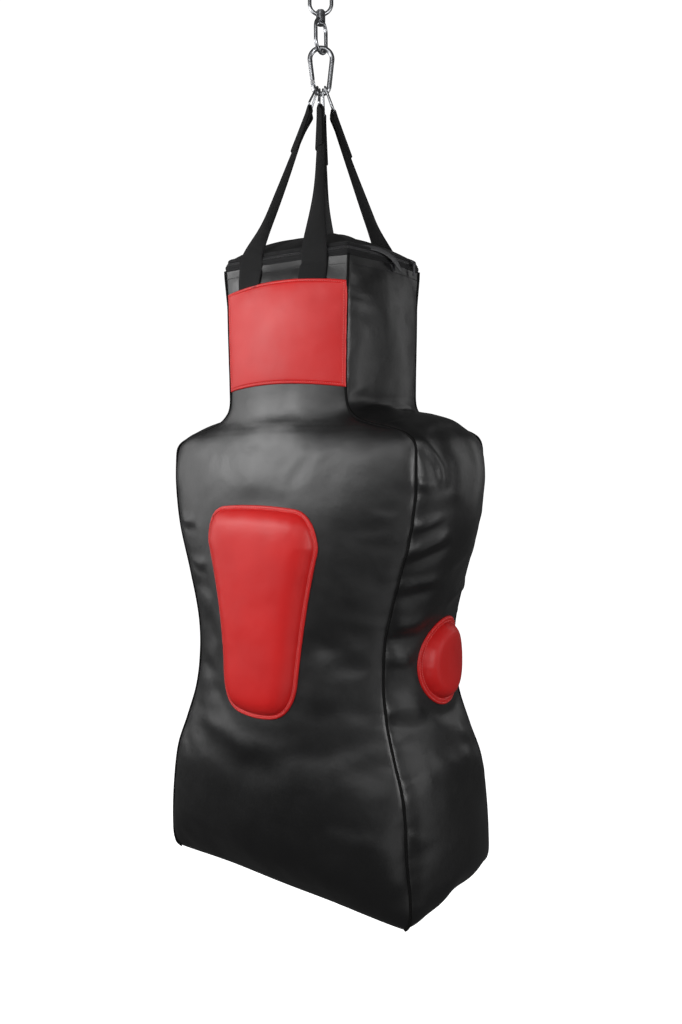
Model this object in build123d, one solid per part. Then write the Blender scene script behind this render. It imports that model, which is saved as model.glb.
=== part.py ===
from build123d import *
import os
from math import asin, atan2, cos, pi, radians, sin, sqrt

os.makedirs("parts", exist_ok=True)

# Hanging grappling bag in the shape of a torso, all in millimetres.
# The origin is where the bag is hung: the inside of the top eye.  +Z is up,
# the front of the torso faces -Y and its left and right sides face -X and +X.

BASE = -1588.0          # underside of the bag
RIM = 1060.0            # height of the head's top seam above the underside
SKIN = 3.0              # synthetic leather with its backing cloth
GAP = 0.4               # sewn layers lie this far apart

FACING = 35.5           # the hook's flat side is turned this far from the front
STRAP_W = 56.0          # webbing width where it leaves the bag
STRAP_TOP_W = 30.0      # the webbing is folded narrower at its ring
STRAP_T = 2.4
STRAP_X = 70.0          # strap centre lines to the left and right of the middle

# Seamed torso: height, half width, half depth, swell of the front and back,
# swell of the sides, and how much thicker the skin is measured sideways there.
SECTIONS = [
    (0, 247, 132, 8, 6, 1.0),
    (40, 254, 135, 24, 14, 1.0),
    (110, 254, 138, 38, 20, 1.0),
    (190, 247, 134, 44, 20, 1.0),
    (250, 229, 128, 46, 18, 1.0),
    (310, 207, 122, 48, 16, 1.0),
    (375, 199, 119, 48, 16, 1.0),
    (440, 204, 118, 46, 16, 1.0),
    (520, 227, 118, 44, 20, 1.0),
    (600, 250, 118, 42, 24, 1.0),
    (670, 263, 117, 40, 26, 1.0),
    (722, 265, 116, 35, 22, 1.0),
    (750, 262, 115, 28, 14, 1.5),
    (765, 248, 114, 22, 8, 2.5),
    (775, 222, 113, 17, 5, 3.4),
    (784, 186, 112.5, 15, 4, 3.8),
    (793, 160, 112, 13, 4, 2.9),
    (805, 142, 111.5, 12, 4, 1.8),
    (822, 133, 111, 11, 6, 1.2),
    (860, 131, 111, 12, 8, 1.0),
    (960, 134, 112, 11, 8, 1.0),
    (RIM, 136, 112.5, 6, 5, 1.0),
]
OVER_RIM = (RIM + 30, 136, 112.5, 6, 5, 1.0)


def quad(a, b, front, side, z):
    """Closed outline of four shallow arcs that meet at the corner seams."""
    corners = [(-a, -b), (a, -b), (a, b), (-a, b)]
    middles = [(0, -b - front), (a + side, 0), (0, b + front), (-a - side, 0)]
    edges = []
    for i in range(4):
        p = corners[i]
        q = corners[(i + 1) % 4]
        m = middles[i]
        edges.append(ThreePointArc((p[0], p[1], z), (m[0], m[1], z), (q[0], q[1], z)))
    return Wire(edges)


def strip(half, depth, swell, thick, z, across):
    """Thin curved strip: one panel cut through at one height."""
    def at(u, v):
        return (u, v, z) if across else (-v, u, z)
    outer = ThreePointArc(at(-half, -depth), at(0, -depth - swell), at(half, -depth))
    inner = ThreePointArc(
        at(half, -depth + thick), at(0, -depth - swell + thick), at(-half, -depth + thick)
    )
    right = Line(at(half, -depth), at(half, -depth + thick))
    left = Line(at(-half, -depth + thick), at(-half, -depth))
    return Wire([outer, right, inner, left])


def section_at(h):
    """Torso section at any height, between two of the listed ones."""
    for i in range(len(SECTIONS) - 1):
        low = SECTIONS[i]
        high = SECTIONS[i + 1]
        if low[0] <= h <= high[0]:
            k = (h - low[0]) / (high[0] - low[0])
            return [p + (q - p) * k for p, q in zip(low, high)]


def filled(inset, low, high):
    """Solid torso, drawn in from the outside by an inset."""
    rows = [section_at(low)]
    rows += [row for row in SECTIONS if low < row[0] < high]
    rows += [section_at(high)]
    wires = []
    for h, a, b, front, side, slant in rows:
        wires.append(quad(a - inset * slant, b - inset, front, side, BASE + h))
    return Solid.make_loft(wires, True)


def link_path(circles, place):
    """Closed path around circles listed anticlockwise as (x, y, radius)."""
    count = len(circles)
    normals = []
    for i in range(count):
        x1, y1, r1 = circles[i]
        x2, y2, r2 = circles[(i + 1) % count]
        far = sqrt((x2 - x1) ** 2 + (y2 - y1) ** 2)
        ux = (x2 - x1) / far
        uy = (y2 - y1) / far
        k = (r1 - r2) / far
        m = sqrt(1 - k * k)
        normals.append((ux * k + uy * m, uy * k - ux * m))
    edges = []
    for i in range(count):
        x1, y1, r1 = circles[i]
        x2, y2, r2 = circles[(i + 1) % count]
        nx, ny = normals[i]
        edges.append(Line((x1 + r1 * nx, y1 + r1 * ny), (x2 + r2 * nx, y2 + r2 * ny)))
        before = atan2(ny, nx)
        after = atan2(normals[(i + 1) % count][1], normals[(i + 1) % count][0])
        if after < before:
            after += 2 * pi
        spots = []
        for t in (before, (before + after) / 2, after):
            spots.append((x2 + r2 * cos(t), y2 + r2 * sin(t)))
        edges.append(ThreePointArc(spots[0], spots[1], spots[2]))
    return place * Wire(edges)


def bent_wire(circles, place, radius):
    """Round wire bent along a closed path."""
    path = link_path(circles, place)
    cut = Plane(origin=path.position_at(0), z_dir=path.tangent_at(0))
    return sweep(cut * Circle(radius), path=path)


def save(shape, name):
    shape.label = name
    export_step(shape, "parts/" + name + ".step")


# ---- sewn cover -----------------------------------------------------------

front_wires = []
side_wires = []
for h, a, b, front, side, slant in SECTIONS:
    front_wires.append(strip(a, b, front, SKIN, BASE + h, True))
    side_wires.append(strip(b - SKIN - GAP, a, side, SKIN * slant, BASE + h, False))

front_panel = Solid.make_loft(front_wires, True)
right_side_panel = Solid.make_loft(side_wires, True)
save(front_panel, "front_panel")
save(front_panel.mirror(Plane.XZ), "back_panel")
save(right_side_panel, "right_side_panel")
save(right_side_panel.mirror(Plane.YZ), "left_side_panel")

lowest = SECTIONS[0]
base_wire = quad(
    lowest[1] - SKIN - GAP, lowest[2] - SKIN - GAP, lowest[3], lowest[4], BASE
)
bottom_panel = Solid.extrude(Face(base_wire), Vector(0, 0, SKIN))
save(bottom_panel, "bottom_panel")

# ---- what the cover holds -------------------------------------------------

LINER = 10.0
under_skin = SKIN + GAP
liner_low = SKIN + GAP
liner_high = RIM - 2
liner_block = filled(under_skin, liner_low, liner_high)
liner_hole = filled(under_skin + LINER, liner_low + LINER, liner_high + 1)
liner = liner_block - liner_hole
save(liner, "foam_liner")

fill_low = filled(under_skin + LINER + GAP, liner_low + LINER + GAP, 640)
fill_high = filled(under_skin + LINER + GAP, 640.4, liner_high)
save(fill_low, "textile_fill_lower")
save(fill_high, "textile_fill_upper")

# ---- zipped rim -----------------------------------------------------------

BAND_H = 14.0
COIL_H = 2.6


def ring_band(a, b, front, side, thick, low, tall):
    outer = Face(quad(a, b, front, side, BASE + low))
    inner = Face(quad(a - thick, b - thick, front, side, BASE + low))
    return extrude(outer - inner, tall, dir=(0, 0, 1))


rim_band = ring_band(136, 112.5, 6, 5, 4.0, RIM + GAP, BAND_H)
lower_coil = ring_band(135, 111.5, 6, 5, 3.0, RIM + BAND_H + 0.6, COIL_H)
upper_coil = ring_band(132, 108.5, 5, 4, 3.0, RIM + BAND_H + COIL_H + 1.0, COIL_H)
save(rim_band, "rim_zip_tape")
save(lower_coil, "rim_zip_coil")
save(upper_coil, "lid_zip_coil")

LID_LOW = RIM + BAND_H + 2 * COIL_H + 1.4
LID_RISE = 48.0


def dome(a, b, rise, low):
    """Pillow-shaped top: an arch along X crossed with an arch along Y."""
    def arch(half, plane, deep):
        foot = BASE + low
        bend = ThreePointArc((-half, foot + 5), (0, foot + rise), (half, foot + 5))
        sides = Polyline((half, foot + 5), (half, foot), (-half, foot), (-half, foot + 5))
        return extrude(plane * make_face([bend, sides]), deep, both=True)
    block = arch(a, Plane.XZ, b) & arch(b, Plane.YZ, a)
    return block


lid = dome(132.5, 108.5, LID_RISE, LID_LOW) - dome(129.0, 105.0, LID_RISE - 3.0, LID_LOW)
save(lid, "lid_panel")
top_fill = dome(116.0, 92.0, LID_RISE + 16.0, RIM)
save(top_fill, "lid_padding")

# ---- patch and pads on the outside ---------------------------------------


def in_front(low, thick):
    """Layer that lies on the front panel, from one offset to another."""
    wires = []
    for h, a, b, front, side, slant in SECTIONS + [OVER_RIM]:
        wires.append(strip(a, b + low + thick, front, thick, BASE + h, True))
    return Solid.make_loft(wires, True)


def beside(low, thick):
    """Layer that lies on the right side panel."""
    wires = []
    for h, a, b, front, side, slant in SECTIONS:
        wires.append(strip(b, a + low + thick, side, thick, BASE + h, False))
    return Solid.make_loft(wires, True)


PATCH_LOW = 848.0
PATCH_HIGH = 1026.0
PATCH_X = 129.0
patch_bottom = ThreePointArc(
    (-PATCH_X, BASE + PATCH_LOW - 3), (0, BASE + PATCH_LOW + 5), (PATCH_X, BASE + PATCH_LOW - 3)
)
patch_top = ThreePointArc(
    (PATCH_X, BASE + PATCH_HIGH - 4), (0, BASE + PATCH_HIGH + 4), (-PATCH_X, BASE + PATCH_HIGH - 4)
)
patch_sides = [
    Line((PATCH_X, BASE + PATCH_LOW - 3), (PATCH_X, BASE + PATCH_HIGH - 4)),
    Line((-PATCH_X, BASE + PATCH_HIGH - 4), (-PATCH_X, BASE + PATCH_LOW - 3)),
]
patch_face = Plane.XZ * make_face([patch_bottom, patch_sides[0], patch_top, patch_sides[1]])
patch = extrude(patch_face, 300) & in_front(3.2, 2.4)
save(patch, "head_patch")

PAD_HIGH = 649.0
PAD_LOW = 292.0
PAD_X = -23.0


def pad_outline(inset):
    """Rounded shield, wide at the chest and narrow above the hips."""
    top = BASE + PAD_HIGH - inset
    low = BASE + PAD_LOW + inset
    wide = 125.0 - inset
    narrow = 84.0 - inset
    edges = [
        ThreePointArc((-wide + 44, top - 4), (0, top), (wide - 44, top - 4)),
        RadiusArc((wide - 44, top - 4), (wide, top - 68), 56),
        Line((wide, top - 68), (narrow, low + 58)),
        RadiusArc((narrow, low + 58), (narrow - 46, low + 3), 60),
        ThreePointArc((narrow - 46, low + 3), (0, low), (-narrow + 46, low + 3)),
        RadiusArc((-narrow + 46, low + 3), (-narrow, low + 58), 60),
        Line((-narrow, low + 58), (-wide, top - 68)),
        RadiusArc((-wide, top - 68), (-wide + 44, top - 4), 56),
    ]
    return Plane.XZ * Pos(PAD_X, 0) * make_face(edges)


PAD_T = 19.0
PAD_SKIN = 2.0
PAD_HEM = 9.0
chest_block = extrude(pad_outline(0), 300) & in_front(GAP, PAD_T)
chest_foam = extrude(pad_outline(PAD_HEM), 300) & in_front(GAP + PAD_SKIN, PAD_T - 2 * PAD_SKIN)
chest_room = extrude(pad_outline(PAD_HEM - 0.3), 300)
chest_room = chest_room & in_front(GAP + PAD_SKIN - 0.3, PAD_T - 2 * PAD_SKIN + 0.6)
save(chest_block - chest_room, "chest_pad_cover")
save(chest_foam, "chest_pad_foam")

DISC_R = 77.0
DISC_T = 24.0
DISC_Y = 42.0
DISC_H = 378.0
disc_place = Plane(origin=(0, DISC_Y, BASE + DISC_H), z_dir=(1, 0, 0))
disc_block = extrude(disc_place * Circle(DISC_R), 400) & beside(GAP, DISC_T)
disc_foam = extrude(disc_place * Circle(DISC_R - PAD_HEM), 400)
disc_foam = disc_foam & beside(GAP + PAD_SKIN, DISC_T - 2 * PAD_SKIN)
disc_room = extrude(disc_place * Circle(DISC_R - PAD_HEM + 0.3), 400)
disc_room = disc_room & beside(GAP + PAD_SKIN - 0.3, DISC_T - 2 * PAD_SKIN + 0.6)
right_cover = disc_block - disc_room
save(right_cover, "right_pad_cover")
save(disc_foam, "right_pad_foam")
save(right_cover.mirror(Plane.YZ), "left_pad_cover")
save(disc_foam.mirror(Plane.YZ), "left_pad_foam")

# ---- swivel: two eyes on one pin -----------------------------------------

EYE_WIRE = 3.5
UPPER_R = 20.0
UPPER_TOP = EYE_WIRE
UPPER_LOW = -50.0
LOWER_R = 19.0
LOWER_TOP = -59.0
LOWER_LOW = -119.3
BOSS_R = 8.5
PIN_R = 4.0
LOWER_FACING = FACING + 62.0


def flat_plane(turn):
    """Upright plane through the Z axis; its x runs sideways, its y runs up."""
    t = radians(turn)
    return Plane(origin=(0, 0, 0), x_dir=(cos(t), sin(t), 0), z_dir=(sin(t), -cos(t), 0))


def eye_ring(radius, top, low, wire, turn):
    """Oval link bent from round wire."""
    ends = [(0, low + radius, radius), (0, top - radius, radius)]
    return bent_wire(ends, flat_plane(turn), wire)


upper_eye = eye_ring(UPPER_R, UPPER_TOP, UPPER_LOW, EYE_WIRE, FACING)
upper_eye += Pos(0, 0, -49) * Cylinder(BOSS_R, 9)
upper_eye -= Pos(0, 0, -49) * Cylinder(PIN_R + 0.05, 20)
save(upper_eye, "swivel_upper_eye")

lower_eye = eye_ring(LOWER_R, LOWER_TOP, LOWER_LOW, EYE_WIRE, LOWER_FACING)
lower_eye += Pos(0, 0, -58.6) * Cylinder(BOSS_R, 9)
lower_eye -= Pos(0, 0, -58.6) * Cylinder(PIN_R + 0.05, 20)
save(lower_eye, "swivel_lower_eye")

pin = Pos(0, 0, -54.2) * Cylinder(PIN_R, 21)
pin += Pos(0, 0, -43.2) * Cylinder(6.5, 2.2)
pin_head = Pos(0, 0, -67.0) * Cylinder(7.0, 5.6)
pin += fillet(pin_head.edges(), 1.6)
save(pin, "swivel_pin")

# ---- snap hook ------------------------------------------------------------

HOOK_WIRE = 4.5
BEND_TOP_R = 20.3
BEND_TOP_Z = -131.3
BEND_LOW_R = 14.5
BEND_LOW_Z = -180.5
LEAN = asin((BEND_TOP_R - BEND_LOW_R) / (BEND_TOP_Z - BEND_LOW_Z))

hook_plane = flat_plane(FACING)
bends = [(0, BEND_LOW_Z, BEND_LOW_R), (0, BEND_TOP_Z, BEND_TOP_R)]
hook = bent_wire(bends, hook_plane, HOOK_WIRE)

# The gate side is the straight left leg.  "down" is measured along it.
leg_x = -BEND_TOP_R * cos(LEAN)
leg_z = BEND_TOP_Z - BEND_TOP_R * sin(LEAN)


def leg_point(down):
    return (leg_x + down * sin(LEAN), leg_z - down * cos(LEAN))


def on_leg(down, sideways=0.0):
    """Plane whose z runs up the gate leg, centred on the wire."""
    x, z = leg_point(down)
    here = hook_plane.from_local_coords(Vector(x, z, sideways))
    up = hook_plane.from_local_coords(Vector(-sin(LEAN), cos(LEAN), 0))
    across = hook_plane.z_dir
    return Plane(origin=here, x_dir=across, z_dir=up - hook_plane.origin)


GATE_TOP = 3.6
GATE_RIVET = 41.5
GATE_R = 4.2
RIVET_R = 1.6
GATE_END = GATE_RIVET + GATE_R + 0.5

cut_len = GATE_END - GATE_TOP + 0.6
hook -= on_leg((GATE_TOP - 0.6 + GATE_END) / 2) * Box(14, 14, cut_len)
tongue = on_leg(GATE_RIVET + 3.2) * Box(3.6, 7.6, 6.4)
rivet_place = on_leg(GATE_RIVET)
rivet_axis = Plane(origin=rivet_place.origin, z_dir=hook_plane.z_dir)
tongue += rivet_axis * Cylinder(3.8, 3.6)
tongue -= rivet_axis * Cylinder(RIVET_R + 0.05, 20)
hook += tongue
save(hook, "hook_frame")

gate = on_leg((GATE_TOP + GATE_RIVET) / 2) * Cylinder(GATE_R, GATE_RIVET - GATE_TOP)
gate += rivet_axis * Cylinder(GATE_R, 2 * GATE_R)
gate -= on_leg(GATE_RIVET + 1.5) * Box(4.2, 12, 16)
gate -= rivet_axis * Cylinder(RIVET_R + 0.05, 20)
gate -= on_leg((GATE_TOP + GATE_RIVET) / 2 - 3) * Cylinder(1.8, 22)
save(gate, "hook_gate")

rivet = rivet_axis * Cylinder(RIVET_R, 9.6)
rivet_head = Cylinder(2.5, 1.0)
for end in (-1, 1):
    rivet += rivet_axis * Pos(0, 0, end * 5.0) * rivet_head
save(rivet, "gate_rivet")
spring = on_leg((GATE_TOP + GATE_RIVET) / 2 - 3) * (Cylinder(1.5, 20) - Cylinder(0.8, 20))
save(spring, "gate_spring")

# ---- rings and straps -----------------------------------------------------

RING_WIRE = 2.0
RING_LONG = 47.0
RING_HALF = 19.0
RING_APEX_R = 7.5
RING_SEAT = HOOK_WIRE + RING_WIRE + 0.2
STRAP_FOOT_Z = BASE + RIM + 22.0
STRAP_FOOT_Y = 119.4
tab_low = BASE + 996.0
tab_high = STRAP_FOOT_Z + 2.0
along = Vector(cos(radians(FACING)), sin(radians(FACING)), 0)

RINGS = [
    ("front_left", -1, -1, -43.0),
    ("front_right", 1, -1, -13.0),
    ("back_left", -1, 1, 13.0),
    ("back_right", 1, 1, 43.0),
]


def strap_section(start, pull, bar, length, t, thick):
    """Webbing cut across, at a distance from its ring."""
    k = t / length
    goal = Vector(1, 0, 0)
    wide = bar * (1 - k) + goal * k
    wide = (wide - pull * wide.dot(pull)).normalized()
    place = Plane(origin=start + pull * t, x_dir=wide, z_dir=pull)
    width = STRAP_TOP_W + (STRAP_W - STRAP_TOP_W) * k
    return place * Rectangle(width, thick)


for name, sx, sy, angle in RINGS:
    phi = radians(angle)
    seat = along * (BEND_LOW_R * sin(phi)) + Vector(0, 0, BEND_LOW_Z - BEND_LOW_R * cos(phi))
    foot = Vector(sx * STRAP_X, sy * STRAP_FOOT_Y, STRAP_FOOT_Z)
    pull = (foot - seat).normalized()
    rest = seat - pull * (RING_SEAT + abs(angle) * 0.055)
    face = (along - pull * along.dot(pull)).normalized()
    bar = pull.cross(face).normalized()
    if bar.X < 0:
        bar = bar * -1
    place = Plane(origin=rest, x_dir=bar, z_dir=bar.cross(pull))
    corners = [(0, RING_APEX_R, RING_APEX_R)]
    corners += [(RING_HALF - 4, RING_LONG - 4, 4), (-RING_HALF + 4, RING_LONG - 4, 4)]
    save(bent_wire(corners, place, RING_WIRE), name + "_ring")

    start = rest + pull * RING_LONG
    length = (foot - start).length
    loop_r = RING_WIRE + 0.25
    out = Pos(0, 0) * Circle(loop_r + STRAP_T)
    tail = Pos(0, 13) * Circle(STRAP_T)
    loop_out = make_hull(out.edges() + tail.edges())
    hole_tail = Pos(0, 8) * Circle(0.4)
    loop_in = make_hull(Circle(loop_r).edges() + hole_tail.edges())
    side_on = Plane(origin=start, x_dir=bar.cross(pull), z_dir=bar.cross(pull).cross(pull))
    loop = extrude(side_on * (loop_out - loop_in), STRAP_TOP_W / 2, both=True)
    sewn = loft([
        strap_section(start, pull, bar, length, 12, 2 * STRAP_T),
        strap_section(start, pull, bar, length, 84, 2 * STRAP_T),
    ])
    run = loft([
        strap_section(start, pull, bar, length, 82, STRAP_T),
        strap_section(start, pull, bar, length, length, STRAP_T),
    ])
    tab_face = Plane.XZ * Pos(sx * STRAP_X, (tab_low + tab_high) / 2)
    tab = extrude(tab_face * Rectangle(STRAP_W, tab_high - tab_low), 300)
    tab = tab & in_front(GAP, STRAP_T)
    if sy > 0:
        tab = tab.mirror(Plane.XZ)
    strap = loop + sewn + run + tab
    save(strap, name + "_strap")

# ---- zip sliders and their pull tabs -------------------------------------

SLIDER_Z = BASE + RIM + BAND_H + COIL_H + 0.8
TAB_PIN_R = 0.8
TAB_X = 146.1
for name, y in (("front", 11.0), ("rear", 80.0)):
    slider = Pos(142.7, y, SLIDER_Z) * Box(2.4, 12, 9)
    for end in (-1, 1):
        slider += Pos(145.3, y + end * 4.6, SLIDER_Z) * Box(3.6, 1.6, 4)
    pivot = Pos(TAB_X, y, SLIDER_Z) * Rot(90, 0, 0)
    slider += pivot * Cylinder(TAB_PIN_R, 9)
    save(slider, name + "_zip_slider")
    tab = Pos(TAB_X, y, SLIDER_Z - 12) * Box(1.6, 6.6, 22)
    tab += pivot * Cylinder(1.9, 6.6)
    tab -= pivot * Cylinder(TAB_PIN_R + 0.06, 12)
    save(tab, name + "_zip_pull")
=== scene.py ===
import math

import bpy
import numpy as np
from mathutils import Matrix, Vector
from mathutils.bvhtree import BVHTree


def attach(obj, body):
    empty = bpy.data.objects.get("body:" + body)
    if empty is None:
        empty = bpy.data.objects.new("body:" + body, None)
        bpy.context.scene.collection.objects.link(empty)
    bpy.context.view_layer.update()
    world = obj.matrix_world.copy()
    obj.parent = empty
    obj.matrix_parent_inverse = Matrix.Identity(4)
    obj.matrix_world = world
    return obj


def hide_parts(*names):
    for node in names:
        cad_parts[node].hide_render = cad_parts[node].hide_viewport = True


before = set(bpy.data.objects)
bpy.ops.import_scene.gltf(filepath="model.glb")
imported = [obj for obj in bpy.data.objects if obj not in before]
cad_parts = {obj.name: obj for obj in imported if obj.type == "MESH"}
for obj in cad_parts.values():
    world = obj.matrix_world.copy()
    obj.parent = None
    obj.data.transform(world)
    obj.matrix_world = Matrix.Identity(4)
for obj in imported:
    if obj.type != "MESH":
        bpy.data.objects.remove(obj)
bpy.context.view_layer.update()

# Helper geometry is worked out in millimetres and made in metres.
BASE = -1588.0
RIM = 1060.0
RIM_WIDE, RIM_DEEP = 136, 112.5
FACING = math.radians(35.5)
ALONG = np.array([math.cos(FACING), math.sin(FACING), 0.0])
AWAY = np.array([-math.sin(FACING), math.cos(FACING), 0.0])
EAST = np.array([1.0, 0, 0])
TAU = 2 * math.pi
rng = np.random.default_rng(7)

# Seam frame of the torso: height, half width, half depth, swell front, swell side.
SECTIONS = np.array([
    (0, 244, 126, 9, 7), (5, 252, 131, 13, 9), (14, 259, 134, 19, 12), (40, 261, 136, 29, 17),
    (110, 257, 138, 40, 20), (190, 249, 134, 44, 20), (250, 229, 128, 46, 18),
    (310, 211, 122, 48, 17), (375, 204, 119, 48, 18), (440, 209, 118, 46, 18),
    (520, 230, 118, 44, 21), (600, 254, 118, 42, 25), (670, 265, 117, 40, 26),
    (722, 266, 116, 35, 22), (750, 263, 115, 29, 14), (765, 249, 114, 26, 9),
    (775, 223, 113, 24, 7), (784, 187, 112.5, 22, 7), (793, 160, 112, 20.5, 6),
    (805, 142, 111.5, 19, 6), (822, 133, 111, 17, 7), (860, 131, 113, 14, 13),
    (960, 134, 113, 12, 12), (RIM, RIM_WIDE, RIM_DEEP, 7, 6),
], float)
SHOULDER_EDGE, SHOULDER_TOP, NECK = 768, 789, 824
# middle of the chest pad from side to side; middle and radii of the round side pads
CHEST_U = -17.0
PAD_U, PAD_H, PAD_WIDE, PAD_TALL = 35, 380, 85, 74


# ---- paths and meshes -----------------------------------------------------

def unit(v):
    return v / np.linalg.norm(v)


def tangents(path):
    """Unit direction of a path at each of its points."""
    way = np.gradient(path, axis=0)
    return way / np.linalg.norm(way, axis=1)[:, None]


def run_length(path):
    """Distance along a path at each of its points."""
    return np.concatenate([[0], np.cumsum(np.linalg.norm(np.diff(path, axis=0), axis=1))])


def sampled(path, dist, at):
    """Points of a path at given distances along it."""
    return np.stack([np.interp(at, dist, column) for column in path.T], axis=-1)


def resample(path, step, closed=False):
    """Path with its points at even steps."""
    path = np.asarray(path, float)
    if closed:
        path = np.vstack([path, path[:1]])
    dist = run_length(path)
    at = np.linspace(0, dist[-1], max(4, int(round(dist[-1] / step))) + 1)
    return sampled(path, dist, at[:-1] if closed else at)


def eased(path):
    """Path with its bends softened and its ends held."""
    for _ in range(3):
        path[1:-1] = (path[:-2] + path[2:] + 2 * path[1:-1]) / 4
    return path


def in_scene(name, data):
    obj = bpy.data.objects.new(name, data)
    bpy.context.scene.collection.objects.link(obj)
    return obj


def bare_mesh(name, points, faces):
    mesh = bpy.data.meshes.new(name)
    mesh.from_pydata([tuple(p * 0.001) for p in points], [], faces)
    mesh.update()
    return in_scene(name, mesh)


def new_mesh(name, points, faces, body, material):
    """Smooth mesh that moves with a body."""
    obj = bare_mesh(name, points, faces)
    obj.data.polygons.foreach_set("use_smooth", [True] * len(obj.data.polygons))
    obj.data.materials.append(material)
    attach(obj, body)
    return obj


def subdivide(obj):
    mod = obj.modifiers.new("smooth", "SUBSURF")
    mod.levels = mod.render_levels = 1


def grid_faces(rows, cols, wrap=False, start=0):
    """Faces between rows of points; wrap closes each row into a loop."""
    faces = []
    for i in range(rows - 1):
        near, far = start + i * cols, start + (i + 1) * cols
        for j in range(cols if wrap else cols - 1):
            k = (j + 1) % cols
            faces.append((near + j, near + k, far + k, far + j))
    return faces


def run_faces(rows, cols, start=0):
    """Faces of a run of closed loops with a cap at each end."""
    last = start + (rows - 1) * cols
    caps = [tuple(range(start + cols - 1, start - 1, -1)), tuple(range(last, last + cols))]
    return grid_faces(rows, cols, wrap=True, start=start) + caps


def fan(start, count, tip):
    """Faces from a closed loop of points to one point."""
    return [(start + j, start + (j + 1) % count, tip) for j in range(count)]


def flipped(faces):
    return [tuple(reversed(face)) for face in faces]


def swept(name, loops, body, material):
    """Solid run through a list of closed loops of points."""
    loops = np.array(loops)
    return new_mesh(name, loops.reshape(-1, 3), run_faces(*loops.shape[:2]), body, material)


def tube(name, path, radius, material, sides=8, closed=False):
    tangent = tangents(path)
    u = np.zeros_like(tangent)
    u[0] = unit(np.cross(tangent[0], [0.3, 0.2, 0.9]))
    for i in range(1, len(path)):
        u[i] = unit(u[i - 1] - tangent[i] * np.dot(u[i - 1], tangent[i]))
    v = np.cross(tangent, u)
    turn = np.linspace(0, TAU, sides, endpoint=False)
    loops = path[:, None] + radius * (
        np.cos(turn)[None, :, None] * u[:, None] + np.sin(turn)[None, :, None] * v[:, None])
    if not closed:
        return swept(name, loops, "bag", material)
    # the ends join at the rotation that fits best
    best = min(range(sides), key=lambda s: np.sum((loops[-1] - np.roll(loops[0], -s, 0)) ** 2))
    faces = grid_faces(len(path), sides, wrap=True)
    last = (len(path) - 1) * sides
    for j in range(sides):
        k = (j + 1) % sides
        faces.append((last + j, last + k, (k + best) % sides, (j + best) % sides))
    return new_mesh(name, loops.reshape(-1, 3), faces, "bag", material)


# One stitch from end to end: place along it, thickness, height over the surface.
STITCH = (
    (-0.5, 0.5, -0.35), (-0.38, 1.0, 0.05), (0.0, 1.1, 0.3), (0.38, 1.0, 0.05), (0.5, 0.5, -0.35),
)


def stitches(name, path, normals, material, pitch=4.6, length=3.1):
    """Separate thread stitches lying on a surface along a closed path."""
    path = np.vstack([path, path[:1]])
    normals = np.vstack([normals, normals[:1]])
    dist = run_length(path)
    points, faces = [], []
    sides, radius = 6, 0.42
    for middle in np.arange(pitch / 2, dist[-1] - pitch / 2, pitch):
        spots = []
        for along, thick, lift in STITCH:
            n = unit(sampled(normals, dist, middle + along * length))
            spots.append((sampled(path, dist, middle + along * length) + n * lift, thick, n))
        d = unit(spots[-1][0] - spots[0][0])
        faces += run_faces(len(spots), sides, len(points))
        for p, thick, n in spots:
            w = np.cross(d, n)
            for a in range(sides):
                t = TAU * a / sides
                points.append(p + radius * thick * (math.cos(t) * w + math.sin(t) * n))
    return new_mesh(name, points, faces, "bag", material)


# ---- materials ------------------------------------------------------------

def set_inputs(made, values):
    for key, value in values.items():
        made.inputs[key].default_value = value


def material(name, color, rough, metal=0.0):
    mat = bpy.data.materials.new(name)
    mat.use_nodes = True
    shader = mat.node_tree.nodes["Principled BSDF"]
    set_inputs(shader, {"Base Color": (*color, 1.0), "Roughness": rough, "Metallic": metal})
    return mat, mat.node_tree, shader


def coords(tree):
    return tree.nodes.new("ShaderNodeTexCoord").outputs["Object"]


def texture(tree, where, kind, inputs, **settings):
    made = tree.nodes.new(kind)
    for key, value in settings.items():
        setattr(made, key, value)
    set_inputs(made, inputs)
    tree.links.new(where, made.inputs["Vector"])
    return made


def noise(tree, where, scale, detail, rough=0.5):
    inputs = {"Scale": scale, "Detail": detail, "Roughness": rough}
    return texture(tree, where, "ShaderNodeTexNoise", inputs).outputs["Fac"]


def ramp(tree, source, *stops):
    made = tree.nodes.new("ShaderNodeValToRGB")
    for element, (place, color) in zip(made.color_ramp.elements, stops):
        element.position = place
        element.color = (*color, 1)
    tree.links.new(source, made.inputs["Fac"])
    return made.outputs["Color"]


def vary_roughness(tree, shader, source, low, high):
    made = tree.nodes.new("ShaderNodeMapRange")
    set_inputs(made, {"To Min": low, "To Max": high})
    tree.links.new(source, made.inputs["Value"])
    tree.links.new(made.outputs["Result"], shader.inputs["Roughness"])


def bump(tree, shader, *heights):
    """Chains height textures, each with its own strength and depth, into the normal."""
    last = None
    for source, strength, deep in heights:
        made = tree.nodes.new("ShaderNodeBump")
        set_inputs(made, {"Strength": strength, "Distance": deep})
        tree.links.new(source, made.inputs["Height"])
        if last is not None:
            tree.links.new(last, made.inputs["Normal"])
        last = made.outputs["Normal"]
    tree.links.new(last, shader.inputs["Normal"])


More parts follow.
